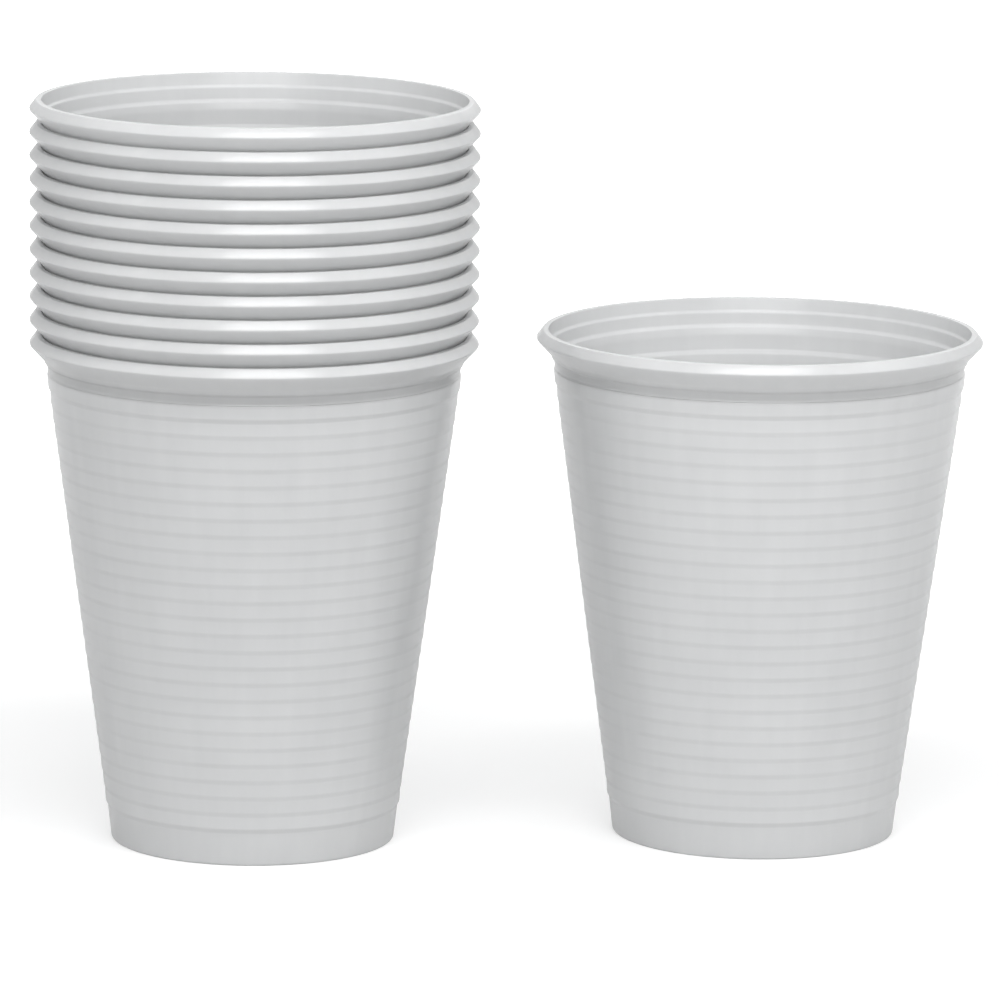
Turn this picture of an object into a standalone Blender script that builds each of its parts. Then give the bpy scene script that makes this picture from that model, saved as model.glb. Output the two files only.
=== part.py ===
"""A stack of nested plastic drinking cups, with one loose cup beside it.

Every cup is one thin thermoformed piece, and all are alike. Metres, +Z up, table at z = 0.
"""

import math

import bpy
from mathutils import Vector

# One cup
RIM_DIAMETER = 0.0700
CUP_HEIGHT = 0.0800
FOOT_DIAMETER = 0.0444
WALL = 0.00025

# Rolled lip, and the flare under it that narrows to the throat
LIP_RADIUS = 0.0009
LIP_OVERHANG = 0.00245
FLARE_WIDTH = 0.0003
FLARE_HEIGHT = 0.0008
THROAT_DROP = 0.0043

# Stacking bead, which sits in the throat of the cup below
BEAD_PROUD = 0.0003
BEAD_HEIGHT = 0.0018
BEAD_SLOPE = 0.0004
SEAT_GAP = 0.0003

# Foot ring and the raised panel inside it
FOOT_EDGE = 0.0006
FOOT_WIDTH = 0.0020
PANEL_LIFT = 0.0018
PANEL_SLOPE = 0.0004

# The set on the table
STACK_COUNT = 11
NEST_GAP = 0.00025
RIM_SPACING = 0.0090
LOOSE_CUP_SETBACK = 0.0078

SEGMENTS = 32
LIP_STEPS = 5

# Sizes that follow from those above
LIP_CENTRE = Vector((RIM_DIAMETER / 2 - LIP_RADIUS, CUP_HEIGHT - LIP_RADIUS))
THROAT_RADIUS = RIM_DIAMETER / 2 - LIP_OVERHANG
THROAT_Z = CUP_HEIGHT - THROAT_DROP
TAPER = (THROAT_RADIUS - FOOT_DIAMETER / 2) / THROAT_Z
WALL_ACROSS = WALL * math.hypot(1, TAPER)
WALL_PITCH = (WALL_ACROSS + NEST_GAP) / TAPER
LIP_PITCH = (2 * LIP_RADIUS + NEST_GAP) * math.sqrt(2)
NEST_PITCH = max(WALL_PITCH, LIP_PITCH)
BEAD_Z = THROAT_Z - NEST_PITCH + SEAT_GAP
CUP_SPACING = RIM_DIAMETER + RIM_SPACING


def on_wall(z, proud=0.0):
    """The outer wall's point at height z, moved out by proud."""
    return Vector((FOOT_DIAMETER / 2 + TAPER * z + proud, z))


def lip():
    """The rolled lip in section, from its inner side over the top to its underside."""
    angles = [math.radians(180 - 45 * i) for i in range(LIP_STEPS + 1)]
    return [LIP_CENTRE + LIP_RADIUS * Vector((math.cos(a), math.sin(a))) for a in angles]


def outside():
    """The outer surface in section, from the flare under the lip down to the axis."""
    foot_inner = FOOT_DIAMETER / 2 - FOOT_WIDTH
    return [
        Vector((THROAT_RADIUS + FLARE_WIDTH, THROAT_Z + FLARE_HEIGHT)),
        Vector((THROAT_RADIUS, THROAT_Z)),
        on_wall(BEAD_Z + BEAD_HEIGHT),
        on_wall(BEAD_Z + BEAD_HEIGHT - BEAD_SLOPE, BEAD_PROUD),
        on_wall(BEAD_Z + BEAD_SLOPE, BEAD_PROUD),
        on_wall(BEAD_Z),
        on_wall(FOOT_EDGE),
        on_wall(0, -FOOT_EDGE),
        Vector((foot_inner, 0)),
        Vector((foot_inner - PANEL_SLOPE, PANEL_LIFT)),
        Vector((0, PANEL_LIFT)),
    ]


def offset(line, distance):
    """The line moved sideways by distance, to the right of its run, with mitred corners."""
    normals = []
    for start, end in zip(line, line[1:]):
        run = (end - start).normalized()
        normals.append(Vector((run.y, -run.x)))
    moved = []
    for i, point in enumerate(line):
        before, after = normals[max(i - 1, 0)], normals[min(i, len(normals) - 1)]
        middle = (before + after).normalized()
        moved.append(point + middle * distance / middle.dot(after))
    return moved


def cup_mesh():
    """Half of the cup's section as an edge loop: up the inside, over the lip, down the outside."""
    outer = outside()
    inner = offset(outer, WALL)
    section = inner[::-1] + lip() + outer
    edges = [(i, i + 1) for i in range(len(section) - 1)]
    mesh = bpy.data.meshes.new("cup_section")
    mesh.from_pydata([(p.x, 0, p.y) for p in section], edges, [])
    return mesh


def milky_plastic():
    material = bpy.data.materials.new("cup_plastic")
    material.use_nodes = True
    shader = material.node_tree.nodes["Principled BSDF"]
    shader.inputs["Base Color"].default_value = (0.80, 0.81, 0.82, 1)
    shader.inputs["Roughness"].default_value = 0.35
    shader.inputs["Metallic"].default_value = 0
    return material


def add_cup(name, mesh, parent, location):
    cup = bpy.data.objects.new(name, mesh)
    cup.parent = parent
    cup.location = location
    turn = cup.modifiers.new("turn", "SCREW")
    turn.axis = "Z"
    turn.steps = turn.render_steps = SEGMENTS
    turn.use_merge_vertices = True
    turn.merge_threshold = 0.00001
    collection.objects.link(cup)
    return cup


for old in list(bpy.data.objects):
    bpy.data.objects.remove(old, do_unlink=True)

collection = bpy.data.collections.new("nested_drinking_cups")
bpy.context.scene.collection.children.link(collection)
table_point = bpy.data.objects.new("table_point", None)
collection.objects.link(table_point)

section_mesh = cup_mesh()
section_mesh.materials.append(milky_plastic())

# The stack: each cup stands in the one below, which carries it
stack_place = Vector((-CUP_SPACING / 2, -LOOSE_CUP_SETBACK / 2, 0))
below = add_cup("bottom_cup", section_mesh, table_point, stack_place)
for number in range(2, STACK_COUNT + 1):
    cup_name = "top_cup" if number == STACK_COUNT else f"nested_cup_{number:02d}"
    below = add_cup(cup_name, section_mesh, below, (0, 0, NEST_PITCH))

# The loose cup, to the right and a little further back
add_cup("loose_cup", section_mesh, table_point, -stack_place)
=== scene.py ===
"""Looks for the stack of nested drinking cups and the loose cup beside it."""

import math

import bpy
from mathutils import Matrix, Vector


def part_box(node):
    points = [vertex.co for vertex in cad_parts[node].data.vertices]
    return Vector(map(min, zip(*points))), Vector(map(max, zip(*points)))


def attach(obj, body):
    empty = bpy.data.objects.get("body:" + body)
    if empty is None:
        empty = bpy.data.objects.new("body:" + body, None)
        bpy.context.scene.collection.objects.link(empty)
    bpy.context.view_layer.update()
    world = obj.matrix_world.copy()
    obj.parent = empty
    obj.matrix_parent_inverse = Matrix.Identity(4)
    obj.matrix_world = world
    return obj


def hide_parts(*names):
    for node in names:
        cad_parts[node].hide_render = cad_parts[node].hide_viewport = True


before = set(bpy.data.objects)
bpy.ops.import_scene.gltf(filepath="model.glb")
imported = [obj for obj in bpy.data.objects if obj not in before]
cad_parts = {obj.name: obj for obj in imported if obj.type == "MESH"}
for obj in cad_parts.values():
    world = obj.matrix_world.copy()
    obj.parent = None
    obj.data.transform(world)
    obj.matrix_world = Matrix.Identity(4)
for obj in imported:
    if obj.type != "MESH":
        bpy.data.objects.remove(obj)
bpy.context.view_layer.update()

MM = 0.001

# The cup's own sizes, from the frame
loose_low, loose_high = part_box("loose_cup")
CUP_HEIGHT = loose_high.z - loose_low.z
RIM_RADIUS = (loose_high.x - loose_low.x) / 2

# Wall, whose straight line runs from the foot to the throat
FOOT_RADIUS = 22.2 * MM
LIP_OVERHANG = 2.55 * MM
THROAT_DROP = 5.0 * MM
WALL = 0.25 * MM

# Lip, with a flat top and a sloping outer face
LIP_WIDTH = 1.0 * MM
LIP_HEIGHT = 1.4 * MM
LIP_TOP_WIDTH = 0.85 * MM
LIP_TOP_EDGE = 0.15 * MM
LIP_OUTER_EDGE = 0.25 * MM
LIP_BLUNT = 0.09 * MM

# Flare under the lip
FLARE_DROP = 3.8 * MM
FLARE_PROUD = 0.2 * MM
FLARE_CURVE = 0.35 * MM

# Ridge on the inside of the flare
RIDGE_DROP = 2.0 * MM
RIDGE_SLOPE = 0.15 * MM
RIDGE_STEP = 0.35 * MM
RIDGE_EDGE = 0.2 * MM

# Neck, set back between the flare and the wall, with a ledge above it on the inside
NECK_DROP = 4.4 * MM
NECK_HEIGHT = 1.5 * MM
NECK_DEPTH = 0.2 * MM
NECK_WALL = 0.17 * MM
NECK_STEP = 0.3 * MM
NECK_RETURN = 0.35 * MM
NECK_EDGE = 0.15 * MM
NECK_CURVE = 0.25 * MM
LEDGE_STEP = 0.45 * MM

# Rings moulded into the wall: each band ends in a small step inwards
RING_COUNT = 26
RING_PITCH = 2.633 * MM
FIRST_RING_DROP = 8.56 * MM
RING_STEP = 0.1 * MM
RING_HEIGHT = 0.7 * MM
END_RING_STEP = 0.24 * MM
RING_EDGE = 0.15 * MM

# Foot ring and base panel
FOOT_EDGE = 0.4 * MM
FOOT_WIDTH = 2.0 * MM
FOOT_CURVE = 0.5 * MM
FOOT_CURVE_INSIDE = 0.3 * MM
PANEL_LIFT = 1.8 * MM
PANEL_SLOPE = 0.4 * MM
PANEL_CURVE = 0.5 * MM
PANEL_CROWN = 0.5 * MM

SEGMENTS = 96
CURVE_STEPS = 4

# Milky plastic
DEEP_TONE = (0.745, 0.752, 0.756, 1)
PALE_TONE = (0.785, 0.791, 0.794, 1)
TONE_START = 0.35
TONE_END = 0.65
MOTTLE_SCALE = 70
STREAK_SCALE = (420, 420, 14)
GRAIN_SCALE = 1600
GRAIN_STRENGTH = 0.12
GRAIN_DEPTH = 0.05 * MM
ROUGHNESS_LOW = 0.16
ROUGHNESS_HIGH = 0.28
PLASTIC_IOR = 1.49
LIGHT_THROUGH = 0.3
THROUGH_TONE = 0.82

# Painted shade on the outside: greyer down the flare and the neck under the lip, where shade falls
FLARE_PAINTED_SHADE = 0.91
NECK_PAINTED_SHADE = 0.76
PAINTED_SHADE_DEPTH = 10 * MM

# Floor, and the glow that whitens it away from the cups
FLOOR_SIZE = 6
TABLE_TONE = 0.68
SHADOW_TONE = 0.60
GLOW_START = 0.12
GLOW_END = 0.5
GLOW_NEAR = 0.46
GLOW_FAR = 1.0

# Room light
ROOM_COLOUR = (0.98, 0.99, 1, 1)
ROOM_STRENGTH = 0.42

# Point that the lamps face
LAMP_AIM = Vector((0, 0, 0.06))

# Camera, as fitted to the photograph
CAMERA_PLACE = Vector((-1.0, -1195.7, 272.7)) * MM
CAMERA_TILT = math.radians(10.40)
CAMERA_ROLL = math.radians(0.56)
CAMERA_LENS = 278.9


def wall_point(z, proud=0.0):
    """The outer wall's point at height z, moved out by proud."""
    throat = RIM_RADIUS - LIP_OVERHANG
    taper = (throat - FOOT_RADIUS) / (CUP_HEIGHT - THROAT_DROP)
    return Vector((FOOT_RADIUS + taper * z + proud, z))


def rounded(corners):
    """A line through (point, size) corners, each cut back by size on both legs and curved between."""
    line = []
    for i, (point, size) in enumerate(corners):
        if size == 0 or i in (0, len(corners) - 1):
            line.append(point)
            continue
        before = point + (corners[i - 1][0] - point).normalized() * size
        after = point + (corners[i + 1][0] - point).normalized() * size
        for k in range(CURVE_STEPS + 1):
            t = k / CURVE_STEPS
            line.append(before * (1 - t) ** 2 + point * 2 * t * (1 - t) + after * t**2)
    return line


def neck(inset):
    """The neck's corners, downwards, with the edge of the wall below it."""
    top = CUP_HEIGHT - NECK_DROP
    low = top - NECK_HEIGHT
    return [
        (wall_point(top - NECK_STEP, -NECK_DEPTH - inset), NECK_EDGE),
        (wall_point(low, -NECK_DEPTH - inset), NECK_CURVE),
        (wall_point(low - NECK_RETURN, -inset), NECK_CURVE),
    ]


def rings(inset):
    """The ring steps' corners, downwards."""
    corners = []
    for i in range(RING_COUNT):
        z = CUP_HEIGHT - FIRST_RING_DROP - RING_PITCH * i
        step = END_RING_STEP if i in (0, RING_COUNT - 1) else RING_STEP
        corners.append((wall_point(z + RING_HEIGHT / 2, step / 2 - inset), RING_EDGE))
        corners.append((wall_point(z - RING_HEIGHT / 2, -step / 2 - inset), RING_EDGE))
    return corners


def lip():
    """The lip's corners, from its inner edge over the sloping face to the edge above the flare."""
    top = Vector((RIM_RADIUS - LIP_WIDTH, CUP_HEIGHT))
    return [
        (top - Vector((LIP_TOP_WIDTH, 0)), LIP_TOP_EDGE),
        (top, LIP_TOP_EDGE),
        (Vector((RIM_RADIUS + LIP_BLUNT, CUP_HEIGHT - LIP_HEIGHT)), LIP_OUTER_EDGE),
    ]


def outside():
    """The outer surface from the flare to the axis, with the foot ring and the base's underside."""
    foot_inner = FOOT_RADIUS - FOOT_WIDTH
    flare = [
        (wall_point(CUP_HEIGHT - FLARE_DROP, FLARE_PROUD), FLARE_CURVE),
        (wall_point(CUP_HEIGHT - NECK_DROP, FLARE_PROUD / 2), NECK_EDGE),
    ]
    base = [
        (wall_point(0), FOOT_EDGE),
        (Vector((foot_inner, 0)), FOOT_CURVE),
        (Vector((foot_inner - PANEL_SLOPE, PANEL_LIFT)), PANEL_CURVE),
        (Vector((0, PANEL_LIFT + PANEL_CROWN)), 0),
    ]
    return flare + neck(0) + rings(0) + base


def inside():
    """The inner surface from the lip to the axis."""
    lip_inner = lip()[0][0]
    foot_inner = FOOT_RADIUS - FOOT_WIDTH + WALL
    neck_corners = neck(NECK_WALL)[:2]
    ridge = Vector((lip_inner.x - RIDGE_SLOPE, CUP_HEIGHT - RIDGE_DROP))
    flare = [
        (ridge, RIDGE_EDGE),
        (ridge - Vector((RIDGE_STEP, RIDGE_STEP)), RIDGE_EDGE),
        (neck_corners[0][0] + Vector((LEDGE_STEP, LEDGE_STEP)), NECK_CURVE),
    ]
    base = [
        (wall_point(WALL, -WALL), FOOT_EDGE / 2),
        (Vector((foot_inner, WALL)), FOOT_CURVE_INSIDE),
        (Vector((foot_inner - PANEL_SLOPE, PANEL_LIFT + WALL)), PANEL_CURVE),
        (Vector((0, PANEL_LIFT + PANEL_CROWN + WALL)), 0),
    ]
    return flare + neck_corners + rings(WALL) + base


def cup_mesh():
    """The cup's section turned round the Z axis."""
    section = rounded(inside()[::-1] + lip() + outside())
    turned = section[1:-1]
    points = [(0, 0, section[0].y)]
    for p in turned:
        for k in range(SEGMENTS):
            a = 2 * math.pi * k / SEGMENTS
            points.append((p.x * math.cos(a), p.x * math.sin(a), p.y))
    points.append((0, 0, section[-1].y))
    last = len(points) - 1
    end = last - SEGMENTS
    faces = []
    for k in range(SEGMENTS):
        n = (k + 1) % SEGMENTS
        faces.append((0, 1 + k, 1 + n))
        for row in range(len(turned) - 1):
            a = 1 + row * SEGMENTS
            b = a + SEGMENTS
            faces.append((a + k, b + k, b + n, a + n))
        faces.append((end + k, last, end + n))
    mesh = bpy.data.meshes.new("cup")
    mesh.from_pydata(points, [], faces)
    mesh.polygons.foreach_set("use_smooth", [True] * len(mesh.polygons))
    return mesh


class Nodes:
    """Short calls for building a node tree."""

    def __init__(self, tree):
        self.tree = tree
        tree.nodes.clear()

    def add(self, kind, **settings):
        """A new node; a setting that isn't the node's own is the value of the input of that name."""
        node = self.tree.nodes.new(kind)
        for key, value in settings.items():
            if hasattr(node, key):
                setattr(node, key, value)
            else:
                node.inputs[key.replace("_", " ")].default_value = value
        return node

    def link(self, source, target):
        self.tree.links.new(source, target)

    def join(self, kind, operation, first, second, **settings):
        """A Math or Vector Math node that joins two outputs."""
        node = self.add(kind, operation=operation, **settings)
        self.link(first, node.inputs[0])
        self.link(second, node.inputs[1])
        return node

    def noise(self, where, scale, detail=2):
        node = self.add("ShaderNodeTexNoise", Scale=scale, Detail=detail)
        self.link(where, node.inputs["Vector"])
        return node.outputs["Fac"]

    def ramp(self, value, stops):
        """A colour ramp with these (position, colour) stops, in order."""
        node = self.add("ShaderNodeValToRGB")
        for position, _ in stops[1:-1]:
            node.color_ramp.elements.new(position)
        for stop, (position, colour) in zip(node.color_ramp.elements, stops):
            stop.position = position
            stop.color = colour
        self.link(value, node.inputs["Fac"])
        return node.outputs["Color"]


def grey(level):
    return (level, level, level, 1)


def outside_mask(n, coords):
    """1 where the surface faces away from the cup's axis, 0 on the inside."""
    spoke = n.add("ShaderNodeVectorMath", operation="MULTIPLY")
    spoke.inputs[1].default_value = (1, 1, 0)
    n.link(coords.outputs["Object"], spoke.inputs[0])
    normal = coords.outputs["Normal"]
    facing = n.join("ShaderNodeVectorMath", "DOT_PRODUCT", spoke.outputs["Vector"], normal)
    outer = n.add("ShaderNodeMath", operation="GREATER_THAN")
    outer.inputs[1].default_value = 0
    n.link(facing.outputs["Value"], outer.inputs[0])
    return outer.outputs[0]


def painted_lip_shade(n, where):
    """Painted shade under the lip: grey levels down the flare and the neck, by the drop from the
    lip's top.
    """
    height = n.add("ShaderNodeSeparateXYZ")
    n.link(where, height.inputs["Vector"])
    drop = n.add("ShaderNodeMapRange", From_Min=CUP_HEIGHT, From_Max=CUP_HEIGHT - PAINTED_SHADE_DEPTH)
    n.link(height.outputs["Z"], drop.inputs["Value"])
    neck_low = NECK_DROP + NECK_HEIGHT
    levels = (
        (LIP_HEIGHT, 1),
        (RIDGE_DROP, FLARE_PAINTED_SHADE),
        (FLARE_DROP, FLARE_PAINTED_SHADE),
        (NECK_DROP + NECK_STEP, NECK_PAINTED_SHADE),
        (neck_low - NECK_STEP, NECK_PAINTED_SHADE),
        (neck_low + NECK_RETURN * 2, 1),
    )
    stops = [(depth / PAINTED_SHADE_DEPTH, grey(level)) for depth, level in levels]
    return n.ramp(drop.outputs["Result"], stops)


def plastic_colour(n, coords, mottle):
    """Faint mottling and streaks up the wall, with painted shade making the outside of the flare and
    neck greyer under the lip.
    """
    where = coords.outputs["Object"]
    stretch = n.add("ShaderNodeMapping", Scale=STREAK_SCALE)
    n.link(where, stretch.inputs["Vector"])
    streaks = n.noise(stretch.outputs["Vector"], scale=1)
    both = n.join("ShaderNodeMath", "ADD", mottle, streaks)
    half = n.add("ShaderNodeMath", operation="MULTIPLY")
    half.inputs[1].default_value = 0.5
    n.link(both.outputs[0], half.inputs[0])
    tone = n.ramp(half.outputs[0], ((TONE_START, DEEP_TONE), (TONE_END, PALE_TONE)))
    # painted shade under the lip, multiplied into the colour of the outside only
    painted_shade = n.add("ShaderNodeMix", data_type="RGBA", blend_type="MULTIPLY")
    n.link(outside_mask(n, coords), painted_shade.inputs["Factor"])
    n.link(tone, painted_shade.inputs["A"])
    n.link(painted_lip_shade(n, where), painted_shade.inputs["B"])
    return painted_shade.outputs["Result"]


def milky_plastic():
    """Thin milky polypropylene: satin gloss, a fine grain and some light through it."""
    material = bpy.data.materials.new("cup_plastic")
    material.use_nodes = True
    n = Nodes(material.node_tree)
    coords = n.add("ShaderNodeTexCoord")
    where = coords.outputs["Object"]
    mottle = n.noise(where, MOTTLE_SCALE, detail=3)
    gloss = n.add("ShaderNodeMapRange", To_Min=ROUGHNESS_LOW, To_Max=ROUGHNESS_HIGH)
    n.link(mottle, gloss.inputs["Value"])
    bump = n.add("ShaderNodeBump", Strength=GRAIN_STRENGTH, Distance=GRAIN_DEPTH)
    n.link(n.noise(where, GRAIN_SCALE), bump.inputs["Height"])
    skin = n.add("ShaderNodeBsdfPrincipled", IOR=PLASTIC_IOR)
    n.link(plastic_colour(n, coords, mottle), skin.inputs["Base Color"])
    n.link(gloss.outputs["Result"], skin.inputs["Roughness"])
    n.link(bump.outputs["Normal"], skin.inputs["Normal"])
    through = n.add("ShaderNodeBsdfTranslucent", Color=grey(THROUGH_TONE))
    n.link(bump.outputs["Normal"], through.inputs["Normal"])
    mix = n.add("ShaderNodeMixShader", Fac=LIGHT_THROUGH)
    n.link(skin.outputs["BSDF"], mix.inputs[1])
    n.link(through.outputs["BSDF"], mix.inputs[2])
    out = n.add("ShaderNodeOutputMaterial")
    n.link(mix.outputs["Shader"], out.inputs["Surface"])
    return material


def add_cups():
    """One moulded cup for each CAD node, all sharing a mesh."""
    mesh = cup_mesh()
    mesh.materials.append(milky_plastic())
    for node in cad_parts:
        low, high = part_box(node)
        cup = bpy.data.objects.new(f"{node}_moulded", mesh)
        cup.location = ((low.x + high.x) / 2, (low.y + high.y) / 2, low.z)
        bpy.context.scene.collection.objects.link(cup)
        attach(cup, node)
        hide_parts(node)


def direct_rays(n):
    """1 for rays from the camera, a mirror or glass, and 0 for scattered light."""
    rays = n.add("ShaderNodeLightPath").outputs
    through = rays["Is Transmission Ray"]
    clear = n.join("ShaderNodeMath", "SUBTRACT", through, rays["Is Diffuse Ray"], use_clamp=True)
    bounced = n.join("ShaderNodeMath", "MAXIMUM", rays["Is Glossy Ray"], clear.outputs[0])
    direct = n.join("ShaderNodeMath", "MAXIMUM", rays["Is Camera Ray"], bounced.outputs[0])
    return direct.outputs[0]


def mix_by_ray(n, lit, seen, output):
    """Link lit to the output for scattered light, and seen for direct rays."""
    mix = n.add("ShaderNodeMixShader")
    n.link(direct_rays(n), mix.inputs["Fac"])
    n.link(lit, mix.inputs[1])
    n.link(seen, mix.inputs[2])
    n.link(mix.outputs["Shader"], n.add(output).inputs["Surface"])


def add_floor():
    """A pale table, which the camera sees fading to white and keeping the cups' shadow."""
    bpy.ops.mesh.primitive_plane_add(size=FLOOR_SIZE)
    floor = bpy.context.object
    floor.name = "floor"
    material = bpy.data.materials.new("floor")
    material.use_nodes = True
    n = Nodes(material.node_tree)
    table = n.add("ShaderNodeBsdfDiffuse", Color=grey(TABLE_TONE))
    shade = n.add("ShaderNodeBsdfDiffuse", Color=grey(SHADOW_TONE))
    where = n.add("ShaderNodeTexCoord")
    away = n.add("ShaderNodeVectorMath", operation="LENGTH")
    n.link(where.outputs["Object"], away.inputs[0])
    sweep = n.add(
        "ShaderNodeMapRange",
        interpolation_type="SMOOTHSTEP",
        From_Min=GLOW_START,
        From_Max=GLOW_END,
        To_Min=GLOW_NEAR,
        To_Max=GLOW_FAR,
    )
    n.link(away.outputs["Value"], sweep.inputs["Value"])
    glow = n.add("ShaderNodeEmission")
    n.link(sweep.outputs["Result"], glow.inputs["Strength"])
    seen = n.add("ShaderNodeAddShader")
    n.link(shade.outputs["BSDF"], seen.inputs[0])
    n.link(glow.outputs["Emission"], seen.inputs[1])
    mix_by_ray(n, table.outputs["BSDF"], seen.outputs["Shader"], "ShaderNodeOutputMaterial")
    floor.data.materials.append(material)


def add_world():
    """Dim room light on the cups, and a white background."""
    world = bpy.data.worlds.new("studio")
    bpy.context.scene.world = world
    world.use_nodes = True
    n = Nodes(world.node_tree)
    room = n.add("ShaderNodeBackground", Color=ROOM_COLOUR, Strength=ROOM_STRENGTH)
    white = n.add("ShaderNodeBackground", Color=grey(1), Strength=1)
    mix_by_ray(n, room.outputs["Background"], white.outputs["Background"], "ShaderNodeOutputWorld")


def add_softbox(name, place, size, watts, glare=True):
    """A soft lamp that faces the cups; without glare it leaves no highlight."""
    light = bpy.data.lights.new(name, "AREA")
    light.shape = "RECTANGLE"
    light.size, light.size_y = size
    light.energy = watts
    box = bpy.data.objects.new(name, light)
    box.location = place
    box.rotation_euler = (LAMP_AIM - Vector(place)).to_track_quat("-Z", "Y").to_euler()
    box.visible_glossy = glare
    bpy.context.scene.collection.objects.link(box)


def add_lamps():
    add_softbox("key", place=(0.033, -0.313, 0.628), size=(0.4, 0.13), watts=1.85)
    add_softbox("back", place=(0.1, 1.2, 0.7), size=(1.2, 0.6), watts=2.5)
    add_softbox("rear", place=(0.1, 1.55, 0.26), size=(1.4, 0.4), watts=8, glare=False)
    add_softbox("fill", place=(0, -1.50, 0.50), size=(1.4, 0.5), watts=9.3)
    add_softbox("right", place=(1.0, -0.27, 0.85), size=(0.8, 0.8), watts=3)
    add_softbox("left", place=(-1.0, -0.27, 0.85), size=(0.8, 0.8), watts=2)


def add_camera():
    data = bpy.data.cameras.new("camera")
    data.lens = CAMERA_LENS
    camera = bpy.data.objects.new("camera", data)
    turn = Matrix.Rotation(math.pi / 2 - CAMERA_TILT, 4, "X") @ Matrix.Rotation(CAMERA_ROLL, 4, "Z")
    camera.matrix_world = Matrix.Translation(CAMERA_PLACE) @ turn
    bpy.context.scene.collection.objects.link(camera)
    bpy.context.scene.camera = camera


add_cups()
add_floor()
add_world()
add_lamps()
add_camera()
bpy.context.scene.view_settings.view_transform = "Standard"
